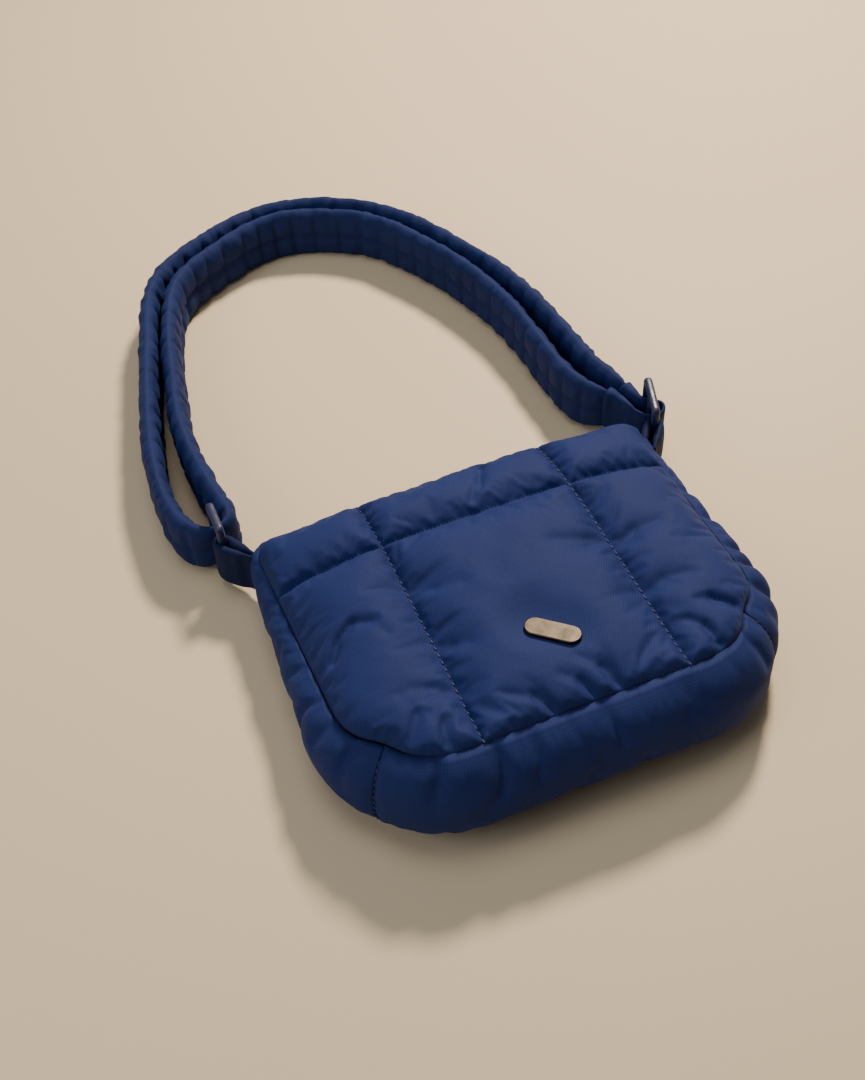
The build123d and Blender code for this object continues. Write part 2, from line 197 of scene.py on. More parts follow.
def inflate(points, faces, pinned, pressure, slack, bending, limit, frames=24):
    """Puffs a sheet between its pinned points, as wadding does, and returns its new points.

    slack holds, per point, the share by which the fabric is cut longer than the shape that it
    starts from, and limit is the furthest that a point may move, in millimetres.
    """
    start = np.asarray(points, float)
    mesh = bpy.data.meshes.new("cloth")
    mesh.from_pydata((start * SIM_SCALE).tolist(), [], [list(map(int, f)) for f in faces])
    sheet = add_object("cloth", mesh)
    scene = bpy.context.scene
    pins = sheet.vertex_groups.new(name="pins")
    pins.add([int(i) for i in np.flatnonzero(pinned)], 1.0, "REPLACE")
    gathered = sheet.vertex_groups.new(name="gathered")
    share = (slack - slack.min()) / max(np.ptp(slack), 1e-6)
    for index, value in enumerate(share):
        gathered.add([index], float(value), "REPLACE")
    cloth = sheet.modifiers.new("cloth", "CLOTH")
    fabric = cloth.settings
    fabric.quality = 6
    fabric.mass = 0.2
    fabric.air_damping = 2.0
    fabric.tension_stiffness = 25.0
    fabric.compression_stiffness = 25.0
    fabric.shear_stiffness = 8.0
    fabric.bending_stiffness = bending
    fabric.vertex_group_mass = "pins"
    fabric.use_pressure = True
    fabric.uniform_pressure_force = pressure
    fabric.vertex_group_shrink = "gathered"
    fabric.shrink_min = -float(slack.min())
    fabric.shrink_max = -float(slack.max())
    fabric.effector_weights.gravity = 0.0
    cloth.collision_settings.use_collision = False
    cloth.point_cache.frame_start = 1
    cloth.point_cache.frame_end = frames
    for step in range(1, frames + 1):
        scene.frame_set(step)
    done = sheet.evaluated_get(bpy.context.evaluated_depsgraph_get()).to_mesh()
    result = np.empty(len(start) * 3)
    done.vertices.foreach_get("co", result)
    bpy.data.objects.remove(sheet)
    bpy.data.meshes.remove(mesh)
    scene.frame_set(1)
    move = result.reshape(-1, 3) / SIM_SCALE - start
    length = np.linalg.norm(move, axis=1, keepdims=True)
    move *= limit * np.tanh(length / limit) / np.maximum(length, 1e-9)
    move[np.asarray(pinned)] = 0
    return start + move


# ---------------------------------------------------------------- outlines of the two seams and the belly

STEPS = {"top": 44, "top_corner": 6, "side": 52, "low_corner": 36, "bottom": 26}
corner_joint = STEPS["top"] + STEPS["top_corner"] + STEPS["side"] + 16


def closed_outline(half_top, half_low, top, bottom, radius_low, radius_top):
    """Plan points from the middle of the top, round the right side and back, evenly per stretch."""
    def run(a, b, count):
        return [(a[0] + (b[0] - a[0]) * i / count, a[1] + (b[1] - a[1]) * i / count)
                for i in range(count)]

    def arc(centre, radius, start, end, count):
        angles = [start + (end - start) * i / count for i in range(count)]
        return [(centre[0] + radius * math.cos(a), centre[1] + radius * math.sin(a)) for a in angles]

    quarter = math.pi / 2
    right = run((0, top), (half_top - radius_top, top), STEPS["top"])
    right += arc((half_top - radius_top, top - radius_top), radius_top, quarter, 0,
                 STEPS["top_corner"])
    right += run((half_top, top - radius_top), (half_low, bottom + radius_low), STEPS["side"])
    right += arc((half_low - radius_low, bottom + radius_low), radius_low, 0, -quarter,
                 STEPS["low_corner"])
    right += run((half_low - radius_low, bottom), (0, bottom), STEPS["bottom"])
    left = [(-x, y) for x, y in reversed(right[1:])]
    return np.array(right + [(0, bottom)] + left)


def down_share(y):
    """0 at the zip, 1 at the bottom seam."""
    return np.clip((front_high[1] - y) / (front_high[1] - front_low[1]), 0, 1)


def front_seam_z(x, y):
    """Height of the front seam: low beside the zip, high at the bottom, a little low at the corners."""
    down = down_share(y)
    across = np.abs(x) / front_high[0]
    arch = seam_top_arch * (1 - across ** 2) * (1 - down) ** 2
    return seam_z_top + seam_z_rise * down ** 1.8 + arch - seam_corner_dip * across ** 4 * down


def quilt_z(x, y):
    """Height of the surface that the quilting lines lie in: level, but for a slope to the seams."""
    middle = (front_high[1] + front_low[1]) / 2
    reach = (front_high[1] - front_low[1]) / 2
    across = 1 - np.clip(np.abs(x) / front_high[0], 0, 1) ** 3.4
    along = 1 - np.clip(np.abs(y - middle) / reach, 0, 1) ** 3.4
    level = quilt_level + 1.5 * down_share(y)
    return front_seam_z(x, y) * (1 - across * along) + level * across * along


front_plan = closed_outline(front_high[0], front_high[0] - 2, front_high[1], front_low[1],
                            low_corner, top_corner)
outline_count = len(front_plan)
for joint in (corner_joint, outline_count - corner_joint):
    drawn = bump(np.linalg.norm(front_plan - front_plan[joint], axis=1), 11.0)[:, None]
    inward = -front_plan[joint] / np.linalg.norm(front_plan[joint])
    front_plan = front_plan + corner_pinch * drawn * inward
back_plan = closed_outline(back_high[0], back_high[0] - 2, back_high[1], back_low[1],
                           low_corner, top_corner)
belly_plan = closed_outline(side_high[0] - 8, side_high[0], side_high[1], belly_low[1],
                            low_corner + 17, top_corner)
front_seam = np.column_stack([front_plan, front_seam_z(*front_plan.T)])
back_seam = np.column_stack([back_plan, np.full(len(back_plan), back_high[2])])
belly_z = 22.0
belly_line = np.column_stack([belly_plan, np.full(len(belly_plan), belly_z)])


def lengths_along(line):
    """The length of a polyline up to each of its points."""
    return np.concatenate([[0], np.cumsum(np.linalg.norm(np.diff(line, axis=0), axis=1))])


def polyline_distance(points, line):
    """Distance in plan from each point to a polyline."""
    best = np.full(len(points), np.inf)
    for a, b in zip(line[:-1], line[1:]):
        along = b - a
        share = np.clip(((points - a) @ along) / max(along @ along, 1e-12), 0, 1)
        best = np.minimum(best, np.linalg.norm(points - a - share[:, None] * along, axis=1))
    return best


def rim_distance(points, rim):
    """Distance in plan from each point to a closed outline."""
    return polyline_distance(points, np.vstack([rim, rim[:1]]))


def triangulate(outline, lines, edge):
    """A plan outline filled with even triangles whose edges follow it and the lines inside it.

    Returns the plan points, the triangles, and for each point 1 on the outline and 2 on a line.
    """
    def resample(line):
        at = lengths_along(line)
        count = max(int(round(at[-1] / edge)), 1)
        want = np.linspace(0, at[-1], count + 1)
        return np.column_stack([np.interp(want, at, line[:, k]) for k in (0, 1)])

    rim = resample(np.vstack([outline, outline[:1]]))[:-1]
    fixed = [rim]
    edges = [(i, (i + 1) % len(rim)) for i in range(len(rim))]
    beside = []
    for line in lines:
        inner = resample(line)
        first = sum(map(len, fixed))
        edges += [(first + i, first + i + 1) for i in range(len(inner) - 1)]
        fixed.append(inner)
        ahead = (line[-1] - line[0]) / np.linalg.norm(line[-1] - line[0])
        aside = np.array([-ahead[1], ahead[0]]) * edge * 0.7
        beside += [inner[1:-1] + aside, inner[1:-1] - aside]
    inward = np.roll(rim, 1, axis=0) - np.roll(rim, -1, axis=0)
    inward = np.column_stack([inward[:, 1], -inward[:, 0]])
    inward /= np.linalg.norm(inward, axis=1, keepdims=True)
    beside.append(rim + inward * edge * 0.7)
    fixed_points = np.vstack(fixed)
    rows_beside = np.vstack(beside)
    for line in lines:
        apart = polyline_distance(rows_beside, line)
        rows_beside = rows_beside[apart > edge * 0.65]
    rows_beside = rows_beside[rim_distance(rows_beside, rim) > edge * 0.65]
    low, high = outline.min(axis=0), outline.max(axis=0)
    rows = np.arange(low[1], high[1], edge * math.sqrt(3) / 2)
    lattice = np.array([(x + (edge / 2 if r % 2 else 0), y) for r, y in enumerate(rows)
                        for x in np.arange(low[0], high[0], edge)])
    inside = np.zeros(len(lattice), bool)
    for a, b in zip(outline, np.roll(outline, -1, axis=0)):
        crosses = (a[1] > lattice[:, 1]) != (b[1] > lattice[:, 1])
        rise = b[1] - a[1] if b[1] != a[1] else 1e-9
        inside ^= crosses & (lattice[:, 0] < a[0] + (lattice[:, 1] - a[1]) * (b[0] - a[0]) / rise)
    clear = rim_distance(lattice, rim) > edge * 1.25
    for line in lines:
        clear &= polyline_distance(lattice, line) > edge * 1.25
    points = np.vstack([fixed_points, rows_beside, lattice[inside & clear]])
    found = delaunay_2d_cdt([Vector(p) for p in points.tolist()], edges,
                            [list(range(len(rim)))], 1, 1e-5)
    verts = np.array([tuple(v) for v in found[0]])
    kind = np.zeros(len(verts), int)
    for index, sources in enumerate(found[3]):
        if any(s < len(rim) for s in sources):
            kind[index] = 1
        elif any(s < len(fixed_points) for s in sources):
            kind[index] = 2
    kind[rim_distance(verts, rim) < 0.01] = 1
    return verts, [list(f) for f in found[2]], kind


def fold_in(points, folds, to_seam):
    """How deep folds press each point in. A fold is (points, depth, width), and fades to its end."""
    depth = np.zeros(len(points))
    for line, deep, wide in folds:
        line = np.array(line, float)
        for step in range(len(line) - 1):
            fade = 1 - ((step + 0.5) / (len(line) - 1)) ** 2
            near = polyline_distance(points, line[step:step + 2])
            depth = np.maximum(depth, deep * fade * bump(near, wide))
    return depth * np.clip(to_seam / 3.0, 0, 1)


def padding_depth(to_rim):
    """How far a padded sheet's inner side lies under its outer one."""
    return padding * (1 - np.exp(-to_rim / 3.0))


def close_under(top, faces, rim, under):
    """Closes a sheet with a second one under it that shares its rim."""
    count = len(top)
    twin = np.arange(count)
    inner = np.flatnonzero(~rim)
    twin[inner] = count + np.arange(len(inner))
    points = np.vstack([top, under[inner]])
    return points, list(faces) + [[int(twin[i]) for i in reversed(f)] for f in faces], inner


# ---------------------------------------------------------------- materials


def new_material(name):
    material = bpy.data.materials.new(name)
    material.use_nodes = True
    return material, material.node_tree, material.node_tree.nodes["Principled BSDF"]


def cloud(tree, place, size, detail, **more):
    """Noise over the object, with spots of about that size in millimetres."""
    return add_node(tree, "ShaderNodeTexNoise", {"Vector": place.outputs["Object"],
                                                 "Scale": 1 / (size * MM), "Detail": detail, **more})


def fabric_material(name, colour, rib_mm, rib_angle, roughness, sheen, rib_depth=0.10, fade=0.10):
    """Woven nylon: diagonal ribs on the piece's own UV, slightly uneven dye, and a soft sheen."""
    material, tree, shader = new_material(name)
    shader.inputs["Roughness"].default_value = roughness
    shader.inputs["IOR"].default_value = 1.53
    shader.inputs["Specular IOR Level"].default_value = 0.08
    shader.inputs["Sheen Weight"].default_value = sheen
    shader.inputs["Sheen Roughness"].default_value = 0.45
    shader.inputs["Sheen Tint"].default_value = linear("#8FA3DA")
    cloth_uv = add_node(tree, "ShaderNodeUVMap", uv_map="UVMap")
    turned = add_node(tree, "ShaderNodeMapping",
                      {"Vector": cloth_uv.outputs["UV"], "Rotation": (0, 0, math.radians(rib_angle))})
    # One rib is drawn about a millimetre wide, a little coarser than the yarn, so that it shows.
    rib_scale = 2 * math.pi / (20 * rib_mm * MM)
    ribs = add_node(tree, "ShaderNodeTexWave",
                    {"Vector": turned.outputs["Vector"], "Scale": rib_scale, "Distortion": 1.2,
                     "Detail": 1.0, "Detail Scale": 0.6}, bands_direction="X")
    yarns = add_node(tree, "ShaderNodeTexWave",
                     {"Vector": cloth_uv.outputs["UV"], "Scale": rib_scale * 1.7,
                      "Distortion": 0.6, "Detail": 1.0}, bands_direction="Y")
    place = add_node(tree, "ShaderNodeTexCoord")
    dye = cloud(tree, place, 28, 3.0)
    slub = cloud(tree, place, 1.1, 2.0)
    weave = add_node(tree, "ShaderNodeMix",
                     {"Factor": 0.3, "A": ribs.outputs["Fac"], "B": yarns.outputs["Fac"]},
                     data_type="FLOAT")
    uneven = add_node(tree, "ShaderNodeMath",
                      {0: dye.outputs["Fac"], 1: slub.outputs["Fac"]}, operation="ADD")
    shade = add_node(tree, "ShaderNodeMath",
                     {0: weave.outputs[0], 1: uneven.outputs["Value"]}, operation="ADD")
    spread = add_node(tree, "ShaderNodeMath",
                      {0: shade.outputs["Value"], 1: 0.5}, operation="MULTIPLY")
    base = np.array(linear(colour)[:3])
    ramp = add_node(tree, "ShaderNodeValToRGB", {"Fac": spread.outputs["Value"]})
    ramp.color_ramp.elements[0].position = 0.35
    ramp.color_ramp.elements[1].position = 1.0
    ramp.color_ramp.elements[0].color = [*(base * (1 - 2 * fade)), 1]
    ramp.color_ramp.elements[1].color = [*(base * (1 + fade)), 1]
    tree.links.new(ramp.outputs["Color"], shader.inputs["Base Color"])
    grain = add_node(tree, "ShaderNodeBump",
                     {"Height": weave.outputs[0], "Strength": 0.55, "Distance": rib_depth * MM})
    pucker = cloud(tree, place, 6, 2.0, Distortion=0.6)
    relief = add_node(tree, "ShaderNodeBump",
                      {"Height": pucker.outputs["Fac"], "Normal": grain.outputs["Normal"],
                       "Strength": 0.35, "Distance": 0.5 * MM})
    tree.links.new(relief.outputs["Normal"], shader.inputs["Normal"])
    return material


def hard_material(name, colour, metallic, roughness, coat=0.0, grain_mm=0.4, grain_depth=0.01):
    """Enamelled, plated or moulded: even colour, and a roughness that handling has made uneven."""
    material, tree, shader = new_material(name)
    shader.inputs["Metallic"].default_value = metallic
    shader.inputs["Coat Weight"].default_value = coat
    shader.inputs["Coat Roughness"].default_value = 0.12
    place = add_node(tree, "ShaderNodeTexCoord")
    wear = cloud(tree, place, 5, 5.0)
    rough = add_node(tree, "ShaderNodeMapRange",
                     {"Value": wear.outputs["Fac"], "From Min": 0.3, "From Max": 0.7,
                      "To Min": roughness * 0.8, "To Max": min(roughness * 1.35, 1.0)})
    tree.links.new(rough.outputs["Result"], shader.inputs["Roughness"])
    base = np.array(linear(colour)[:3])
    tint = add_node(tree, "ShaderNodeValToRGB", {"Fac": wear.outputs["Fac"]})
    tint.color_ramp.elements[0].position = 0.3
    tint.color_ramp.elements[1].position = 0.75
    tint.color_ramp.elements[0].color = [*(base * 0.88), 1]
    tint.color_ramp.elements[1].color = [*np.minimum(base * 1.1, 1), 1]
    tree.links.new(tint.outputs["Color"], shader.inputs["Base Color"])
    fine = cloud(tree, place, grain_mm, 2.0)
    grain = add_node(tree, "ShaderNodeBump",
                     {"Height": fine.outputs["Fac"], "Strength": 0.4, "Distance": grain_depth * MM})
    tree.links.new(grain.outputs["Normal"], shader.inputs["Normal"])
    return material


# Nylon twill: ribs at a slant, a matt face with a cool sheen where it turns away.
shell_twill = fabric_material("nylon_twill_navy", "#22316B", 1.1, 32, 0.66, 0.05)
strap_twill = fabric_material("nylon_twill_strap", "#202E63", 1.0, 32, 0.66, 0.05)
tab_twill = fabric_material("nylon_twill_tab", "#18234C", 1.0, 32, 0.68, 0.05)
# Plain-weave polyester lining: finer and flatter.
lining_weave = fabric_material("polyester_lining", "#1C2749", 0.7, 0, 0.7, 0.1, 0.05)
# Zip tape: a tight herringbone, nearly matt.
tape_weave = fabric_material("zip_tape_herringbone", "#111A3C", 0.8, 45, 0.75, 0.1, 0.08)
# Bonded nylon sewing thread, dyed to match the cloth.
thread_nylon = hard_material("nylon_thread", "#22326B", 0.0, 0.5, grain_mm=0.3, grain_depth=0.03)
# Monofilament of the zip's coil: smooth and a little glossy.
coil_nylon = hard_material("nylon_coil", "#121B3E", 0.0, 0.38, grain_mm=0.3)
# Zinc castings in navy enamel: dull on the ring and the slider, glossier on the zip's small parts.
enamel = hard_material("navy_enamelled_zinc", "#1B2959", 0.0, 0.5, coat=0.12, grain_mm=1.2)
zip_enamel = hard_material("navy_enamelled_zip_zinc", "#141E44", 0.0, 0.34, coat=0.4)
# Nickel plating: on the badge darker, partly its own darker metal and partly painted shade that holds
# down the key light's reflection; plain on the prongs behind it.
nickel = hard_material("nickel_partly_painted_dark", "#4C4843", 1.0, 0.4, grain_mm=0.6, grain_depth=0.003)
plain_nickel = hard_material("plain_nickel", "#9A9892", 1.0, 0.35)


# ---------------------------------------------------------------- front panel

# Folds that the wadding has taken, as (plan points, depth, width).
panel_folds = [
    ([(-88, -6), (-82, 2), (-74, 6), (-66, 2), (-62, -7)], 4.2, 2.6),
    ([(13, 70), (8, 60), (1, 51)], 3.2, 3.0),
    ([(-46, 15), (-36, 8), (-24, 4)], 2.4, 3.4),
    ([(-46, -14), (-40, -22), (-34, -25)], 3.0, 3.0),
    ([(46, 6), (36, 3), (22, 9)], 3.0, 4.0),
    ([(46, -2), (58, 4), (70, 3)], 2.6, 3.2),
    ([(15, -70), (11, -58), (3, -49)], 4.2, 2.6),
    ([(4, -70), (0, -61), (-6, -56)], 3.4, 2.4),
    ([(-14, -70), (-20, -60), (-30, -55)], 3.6, 2.6),
    ([(62, -66), (60, -56), (55, -50)], 3.4, 2.6),
    ([(78, -50), (70, -44), (64, -43)], 3.6, 2.8),
    ([(-60, -66), (-58, -56), (-62, -50)], 3.0, 2.6),
    ([(-72, -58), (-66, -48), (-68, -38)], 2.6, 3.0),
    ([(-46, -44), (-56, -38), (-64, -36)], 2.6, 2.8),
    ([(46, -30), (56, -26), (66, -28)], 2.0, 3.4),
]


def badge_top(x, y):
    """Height of the badge plate's underside, and the distance in plan from the plate."""
    middle = (badge_low[:2] + badge_high[:2]) / 2
    turn = math.radians(badge_turn)
    along = (x - middle[0]) * math.cos(turn) + (y - middle[1]) * math.sin(turn)
    across = (y - middle[1]) * math.cos(turn) - (x - middle[0]) * math.sin(turn)
    apart = np.hypot(np.maximum(np.abs(along) - badge_reach, 0), across)
    tilt = math.tan(math.radians(front_tilt))
    return badge_low[2] + (badge_high[1] - y) * tilt, np.maximum(apart - badge_half_width, 0)


def make_front_panel():
    """Quilted in three columns and two rows: each cell swells between its seams."""
    reach_y = (front_low[1], front_high[1])
    uprights = [np.array([(side * upright_seam_x, reach_y[1]), (side * upright_seam_x, reach_y[0])])
                for side in (-1, 1)]
    cross_half = front_high[0] - 0.7
    cross = np.array([(-cross_half, cross_seam_y), (cross_half, cross_seam_y)])
    plan, faces, kind = triangulate(front_plan[::-1], [*uprights, cross], panel_mesh)
    rim = kind == 1
    to_rim = rim_distance(plan, front_plan)
    to_upright = np.minimum(*[polyline_distance(plan, line) for line in uprights])
    to_seam = np.minimum.reduce([to_rim, to_upright, polyline_distance(plan, cross)])
    lift = cell_puff * (1 - np.exp(-to_seam / 2.6)) + 0.4 * plan_noise(plan, 9.0, 3)
    lift += 0.8 * bump(to_seam - 2.6, 2.6) * plan_noise(plan, 2.6, 8)
    lift -= fold_in(plan, panel_folds, to_seam)
    top = np.column_stack([plan, quilt_z(*plan.T) + np.where(kind > 0, 0, lift)])
    slack = 0.025 + 0.05 * bump(to_seam, 8.0) * np.where(plan[:, 1] > cross_seam_y, 0.3, 1.0)
    top = inflate(top, faces, kind > 0, swell_pressure, slack, 2.0, swell_limit)
    plate, apart = badge_top(*plan.T)
    pressed = plate - badge_sink + badge_hollow_rise * apart ** 1.25
    top[:, 2] = -badge_ease * np.logaddexp(-top[:, 2] / badge_ease, -pressed / badge_ease)
    inner_side = np.column_stack([plan, quilt_z(*plan.T) - padding_depth(to_rim)])
    points, faces, inner = close_under(top, faces, rim, inner_side)
    crease = np.concatenate([np.select([kind == 1, kind == 2], [1.0, 0.8]), np.zeros(len(inner))])
    panel = make_piece("quilted_front", points, faces, shell_twill, "bag",
                       np.vstack([plan, plan[inner]]), 1, crease)
    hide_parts("front_panel")
    return panel


# ---------------------------------------------------------------- gussets


# Each gusset's folds, by the distance along it, clockwise from the zip, and across it.
right_folds = [([(108, 0), (110, 12), (109, 22)], 3.6, 2.4), ([(122, 0), (121, 10), (124, 24)], 4.6, 2.6),
               ([(136, 0), (137, 14), (135, 26)], 4.6, 2.8), ([(60, 0), (64, 10)], 2.0, 2.6),
               ([(82, 0), (86, 12)], 2.6, 2.6), ([(148, 8), (146, 22)], 2.6, 2.4)]
bottom_folds = [([(14, 0), (12, 14), (8, 24)], 3.0, 2.6), ([(52, 0), (56, 12)], 2.0, 3.0),
                ([(96, 0), (92, 10)], 2.2, 3.0), ([(150, 0), (156, 12), (166, 22)], 3.4, 3.0),
                ([(132, 0), (137, 12)], 2.6, 2.8), ([(176, 0), (180, 10), (182, 24)], 2.6, 2.4),
                ([(120, 30), (150, 33), (190, 31)], 1.8, 3.0)]
left_folds = [([(12, 0), (14, 12), (12, 26)], 3.0, 2.6), ([(26, 0), (30, 12)], 2.6, 2.6),
              ([(44, 0), (47, 14), (44, 24)], 2.4, 3.0), ([(66, 0), (70, 12)], 1.8, 3.0)]


def gusset_point(index, share):
    """Points between the two seams, and the bulge out of them: share is 0 at the front seam."""
    low = np.floor(index).astype(int)
    part = (index - low)[:, None]

    def at(line):
        return line[low % outline_count] * (1 - part) + line[(low + 1) % outline_count] * part

    seam_line = at(front_seam) * (1 - share[:, None]) + at(back_seam) * share[:, None]
    chord = (at(front_seam) + at(back_seam)) / 2
    round_off = (1 - np.abs(2 * share - 1) ** 2.4) ** 0.54
    return seam_line, (at(belly_line) - chord) * round_off[:, None]


def make_gusset(name, node, first, last, folds, seed):
    """One gusset, from one outline step to another.

    folds are as the front panel's, in millimetres along the seam and across it.
    """
    inside = np.linspace(first, last, 400)
    middle = gusset_point(inside, np.full(400, 0.5))
    length = np.linalg.norm(np.diff(middle[0] + middle[1], axis=0), axis=1).sum()
    across_count = int(gusset_width / gusset_mesh)
    along_count = int(length / gusset_mesh)
    index, share = np.meshgrid(np.linspace(first, last, along_count + 1),
                               np.linspace(0, 1, across_count + 1), indexing="ij")
    flat = np.column_stack([(index.ravel() - first) / (last - first) * length,
                            share.ravel() * gusset_width])
    seam_line, bulge = gusset_point(index.ravel(), share.ravel())
    rim = np.zeros(index.shape, bool)
    rim[[0, -1], :] = True
    rim[:, [0, -1]] = True
    rim = rim.ravel()
    to_end = np.minimum(flat[:, 0], length - flat[:, 0])
    to_seam = np.minimum(flat[:, 1], gusset_width - flat[:, 1])
    to_rim = np.minimum(to_end, to_seam)
    outward = np.column_stack([bulge[:, :2], np.zeros(len(bulge))])
    outward /= np.maximum(np.linalg.norm(outward, axis=1, keepdims=True), 1e-6)
    outward = outward * 0.85 + np.array([0, 0, 0.5]) * (1 - share.ravel()[:, None])
    joint = np.clip(to_end / 16.0, 0, 1) ** 0.5
    start = seam_line + bulge * (belly_share * (0.90 + 0.10 * joint))[:, None]
    press = 0.6 * plan_noise(flat, 8.0, seed)
    press += 0.7 * bump(to_rim - 2.6, 2.6) * plan_noise(flat, 2.6, 9)
    press -= fold_in(flat, folds, to_rim)
    points = start + outward * np.where(rim, 0, press)[:, None]
    row = across_count + 1
    faces = [[a * row + b, (a + 1) * row + b, (a + 1) * row + b + 1, a * row + b + 1]
             for a in range(along_count) for b in range(across_count)]
    slack = 0.03 + 0.05 * bump(flat[:, 1], 10.0) + 0.05 * bump(to_end, 16.0)
    top = inflate(points, faces, rim, swell_pressure, slack, 1.0, swell_limit)
    inner_side = start - outward * padding_depth(to_rim)[:, None]
    points, faces, inner = close_under(top, faces, rim, inner_side)
    crease = np.concatenate([rim * 1.0, np.zeros(len(inner))])
    piece = make_piece(name, points, faces, shell_twill, "bag",
                       np.vstack([flat, flat[inner]]), 1, crease)
    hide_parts(node)
    return piece


# ---------------------------------------------------------------- back panel


def make_back_panel():
    """A padded panel pressed flat by the surface that it lies on."""
    plan, faces, kind = triangulate(back_plan[::-1], [], panel_mesh * 1.3)
    to_rim = rim_distance(plan, back_plan)
    depth = back_high[2] * (1 - np.clip(1 - to_rim / 22.0, 0, 1) ** 2.6)
    crease = 0.7 * plan_noise(plan, 10.0, 5) * bump(to_rim - 8.0, 7.0)
    under = np.column_stack([plan, np.maximum(back_high[2] - depth + crease, 0.05)])
    under[kind == 1, 2] = back_high[2]
    faces = [f[::-1] for f in faces]
    inside = np.column_stack([plan, np.full(len(plan), back_high[2] + 0.4)])
    points, faces, inner = close_under(under, faces, kind == 1, inside)
    panel = make_piece("padded_back", points, faces, shell_twill, "bag",
                       np.vstack([plan, plan[inner]]), 1)
    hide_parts("back_panel")
    return panel


# ---------------------------------------------------------------- strap


def smooth_route(points, step):
    """Evenly spaced points along the smooth curve that a route's points control, in plan."""
    curve = bpy.data.curves.new("route", "CURVE")
    curve.dimensions = "3D"
    spline = curve.splines.new("NURBS")
    spline.points.add(len(points) - 1)
    for control, (x, y) in zip(spline.points, points):
        control.co = (x, y, 0, 1)
    spline.order_u = 3
    spline.use_endpoint_u = True
    spline.resolution_u = 24
    guide = bpy.data.objects.new("route", curve)
    line = bpy.data.meshes.new_from_object(guide)
    route = np.array([tuple(vertex.co)[:2] for vertex in line.vertices])
    bpy.data.objects.remove(guide)
    bpy.data.curves.remove(curve)
    bpy.data.meshes.remove(line)
    at = lengths_along(route)
    want = np.linspace(0, at[-1], int(at[-1] / step) + 1)
    return want, np.column_stack([np.interp(want, at, route[:, k]) for k in (0, 1)])


def make_ribbon(name, route, step, around, shape, material, body, subdivide=0):
    """A closed band on its edge along a route.

    shape(at, level, side, middle) gives each point's distance out of the middle line and its height:
    at runs along the route in millimetres, level from -1 at the lower edge to 1 at the upper.
    """
    at, middle = smooth_route(route, step)
    ahead = np.gradient(middle, axis=0)
    ahead /= np.linalg.norm(ahead, axis=1, keepdims=True)
    left = np.column_stack([-ahead[:, 1], ahead[:, 0]])
    turn = np.linspace(-math.pi / 2, math.pi / 2, around // 2 + 1)
    levels = np.concatenate([np.sin(turn), np.sin(turn[::-1])[1:-1]])
    sides = np.concatenate([np.ones(len(turn)), -np.ones(len(turn) - 2)])
    sides[[0, len(turn) - 1]] = 0
    grid_at, grid_level = np.meshgrid(at, levels, indexing="ij")
    grid_side = np.broadcast_to(sides, grid_at.shape)
    out, height = shape(grid_at, grid_level, grid_side, middle)
    points = np.empty((*grid_at.shape, 3))
    points[..., :2] = middle[:, None, :] + left[:, None, :] * out[..., None]
    points[..., 2] = height
    count, ring = grid_at.shape
    faces = [[i * ring + j, i * ring + (j + 1) % ring, (i + 1) * ring + (j + 1) % ring,
              (i + 1) * ring + j] for i in range(count - 1) for j in range(ring)]
    faces += [list(reversed(range(ring))), [(count - 1) * ring + j for j in range(ring)]]
    uv = np.column_stack([grid_at.ravel(), np.tile(lengths_along(points[0]), count)])
    return make_piece(name, points.reshape(-1, 3), faces, material, body, uv, subdivide)


strap_route = [
    (99.5, 107.0), (94.5, 114.0), (89.5, 123.5), (86.5, 136.0), (85.8, 155.0), (85.0, 178.0),
    (82.5, 203.0), (75.5, 231.0), (63.0, 262.0), (47.5, 291.0), (27.0, 308.5), (2.0, 320.0),
    (-20.0, 321.5), (-45.0, 311.0), (-69.5, 298.0), (-82.5, 283.0), (-89.5, 265.0), (-95.5, 240.0),
    (-101.5, 214.0), (-106.0, 190.0), (-107.5, 165.0), (-106.0, 140.0), (-103.0, 121.0),
    (-100.8, 108.5), (-106.5, 101.6), (-117.5, 102.5), (-125.5, 113.5), (-128.0, 135.0),
    (-126.0, 163.0), (-121.0, 190.0), (-114.0, 217.0), (-107.5, 243.0), (-101.0, 268.0),
    (-92.5, 292.0), (-76.5, 309.5), (-49.0, 322.5), (-22.0, 332.5), (4.5, 331.5), (33.0, 318.5),
    (55.0, 299.0), (73.5, 267.0), (87.5, 234.0), (96.0, 205.0), (100.0, 180.0), (101.5, 158.0),
    (103.5, 137.0), (107.5, 121.0), (109.5, 107.0),
]
end_loop_route = [
    (99.5, 107.0), (104.0, 99.5), (105.5, 91.0), (110.5, 83.8), (118.5, 83.0), (122.0, 89.7),
    (118.0, 94.0), (110.6, 95.4), (109.5, 107.0),
]
ring_low, ring_high = (np.array(corner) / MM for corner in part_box("ring_left"))
ring_pass = np.array([(ring_low[0] + ring_high[0]) / 2, 102.0])
frame_floor = 5.4            # what passes a frame lies on its lower bar


